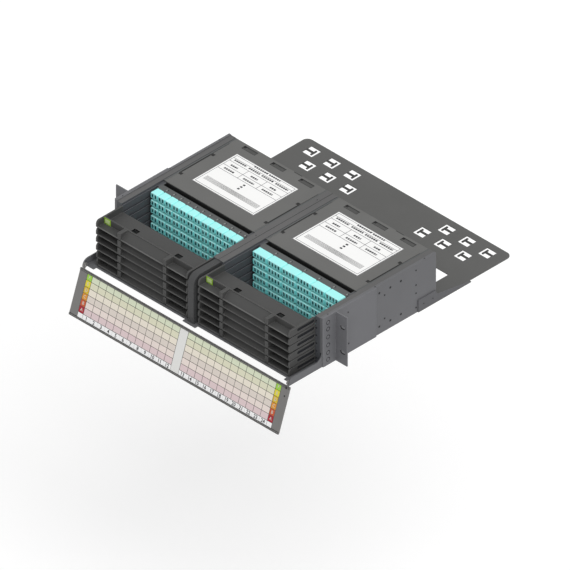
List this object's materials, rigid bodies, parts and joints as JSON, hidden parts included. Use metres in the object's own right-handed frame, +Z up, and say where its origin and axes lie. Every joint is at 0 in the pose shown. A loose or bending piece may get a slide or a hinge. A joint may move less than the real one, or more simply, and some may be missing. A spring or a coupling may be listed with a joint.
{
  "type": "fibre patch panel",
  "caption": "Rack-mount fibre panel: sliding cassette drawers with front cable trays and rows of aqua adapters, a drop-down label door and a rear cable plate.",
  "frame": {"origin": "centre of the four rack slots, on the front face of the rack ears", "axes": "+X to the right seen from the front, +Y to the back, +Z up"},
  "size_m": [0.4826, 0.495, 0.1625],
  "materials": {
    "chassis_steel": "fine-textured dark grey powder coat",
    "rear_steel": "fine-textured dark grey powder coat",
    "guide_plastic": "moulded blue-grey",
    "tray_plastic": "moulded dark grey",
    "cassette_plastic": "moulded dark grey",
    "cover_plate": "satin dark grey",
    "adapter_aqua": "moulded aqua",
    "door_plastic": "satin grey",
    "label_card": "printed card",
    "pin_steel": "turned"
  },
  "bodies": {
    "chassis": {"chassis_tray": "chassis_steel", "outer_drawer_guides": "guide_plastic", "centre_drawer_guides": "guide_plastic", "centre_nose": "tray_plastic", "right_rack_ear": "chassis_steel", "left_rack_ear": "chassis_steel", "rear_cable_plate": "rear_steel", "hinge_pins": "pin_steel"},
    "door": {"door_panel": "door_plastic", "door_label_sheet": "label_card"},
    "left_drawer_1": {"left_cable_tray_1": "tray_plastic", "left_cassette_base_1": "cassette_plastic", "left_cassette_cover_1": "cover_plate", "left_adapters_1": "adapter_aqua"},
    "left_drawer_2": {"left_cable_tray_2": "tray_plastic", "left_cassette_base_2": "cassette_plastic", "left_cassette_cover_2": "cover_plate", "left_adapters_2": "adapter_aqua"},
    "left_drawer_3": {"left_cable_tray_3": "tray_plastic", "left_cassette_base_3": "cassette_plastic", "left_cassette_cover_3": "cover_plate", "left_adapters_3": "adapter_aqua"},
    "left_drawer_4": {"left_cable_tray_4": "tray_plastic", "left_cassette_base_4": "cassette_plastic", "left_cassette_cover_4": "cover_plate", "left_adapters_4": "adapter_aqua"},
    "left_drawer_5": {"left_cable_tray_5": "tray_plastic", "left_cassette_base_5": "cassette_plastic", "left_cassette_cover_5": "cover_plate", "left_adapters_5": "adapter_aqua"},
    "left_drawer_6": {"left_cable_tray_6": "tray_plastic", "left_cassette_base_6": "cassette_plastic", "left_cassette_cover_6": "cover_plate", "left_adapters_6": "adapter_aqua"},
    "right_drawer_1": {"right_cable_tray_1": "tray_plastic", "right_cassette_base_1": "cassette_plastic", "right_cassette_cover_1": "cover_plate", "right_adapters_1": "adapter_aqua"},
    "right_drawer_2": {"right_cable_tray_2": "tray_plastic", "right_cassette_base_2": "cassette_plastic", "right_cassette_cover_2": "cover_plate", "right_adapters_2": "adapter_aqua"},
    "right_drawer_3": {"right_cable_tray_3": "tray_plastic", "right_cassette_base_3": "cassette_plastic", "right_cassette_cover_3": "cover_plate", "right_adapters_3": "adapter_aqua"},
    "right_drawer_4": {"right_cable_tray_4": "tray_plastic", "right_cassette_base_4": "cassette_plastic", "right_cassette_cover_4": "cover_plate", "right_adapters_4": "adapter_aqua"},
    "right_drawer_5": {"right_cable_tray_5": "tray_plastic", "right_cassette_base_5": "cassette_plastic", "right_cassette_cover_5": "cover_plate", "right_adapters_5": "adapter_aqua"},
    "right_drawer_6": {"right_cable_tray_6": "tray_plastic", "right_cassette_base_6": "cassette_plastic", "right_cassette_cover_6": "cover_plate", "right_adapters_6": "adapter_aqua"}
  },
  "joints": [
    {"name": "door_hinge", "type": "hinge", "parent": "chassis", "child": "door", "pos_m": [0, -0.093, -0.03955], "axis": [-1, 0, 0], "range_deg": [0, 161]},
    {"name": "left_drawer_1_slide", "type": "slide", "parent": "chassis", "child": "left_drawer_1", "axis": [0, 1, 0], "range_m": [-0.08, 0]},
    {"name": "left_drawer_2_slide", "type": "slide", "parent": "chassis", "child": "left_drawer_2", "axis": [0, 1, 0], "range_m": [-0.08, 0]},
    {"name": "left_drawer_3_slide", "type": "slide", "parent": "chassis", "child": "left_drawer_3", "axis": [0, 1, 0], "range_m": [-0.08, 0]},
    {"name": "left_drawer_4_slide", "type": "slide", "parent": "chassis", "child": "left_drawer_4", "axis": [0, 1, 0], "range_m": [-0.08, 0]},
    {"name": "left_drawer_5_slide", "type": "slide", "parent": "chassis", "child": "left_drawer_5", "axis": [0, 1, 0], "range_m": [-0.08, 0]},
    {"name": "left_drawer_6_slide", "type": "slide", "parent": "chassis", "child": "left_drawer_6", "axis": [0, 1, 0], "range_m": [-0.08, 0]},
    {"name": "right_drawer_1_slide", "type": "slide", "parent": "chassis", "child": "right_drawer_1", "axis": [0, 1, 0], "range_m": [-0.08, 0]},
    {"name": "right_drawer_2_slide", "type": "slide", "parent": "chassis", "child": "right_drawer_2", "axis": [0, 1, 0], "range_m": [-0.08, 0]},
    {"name": "right_drawer_3_slide", "type": "slide", "parent": "chassis", "child": "right_drawer_3", "axis": [0, 1, 0], "range_m": [-0.08, 0]},
    {"name": "right_drawer_4_slide", "type": "slide", "parent": "chassis", "child": "right_drawer_4", "axis": [0, 1, 0], "range_m": [-0.08, 0]},
    {"name": "right_drawer_5_slide", "type": "slide", "parent": "chassis", "child": "right_drawer_5", "axis": [0, 1, 0], "range_m": [-0.08, 0]},
    {"name": "right_drawer_6_slide", "type": "slide", "parent": "chassis", "child": "right_drawer_6", "axis": [0, 1, 0], "range_m": [-0.08, 0]}
  ]
}
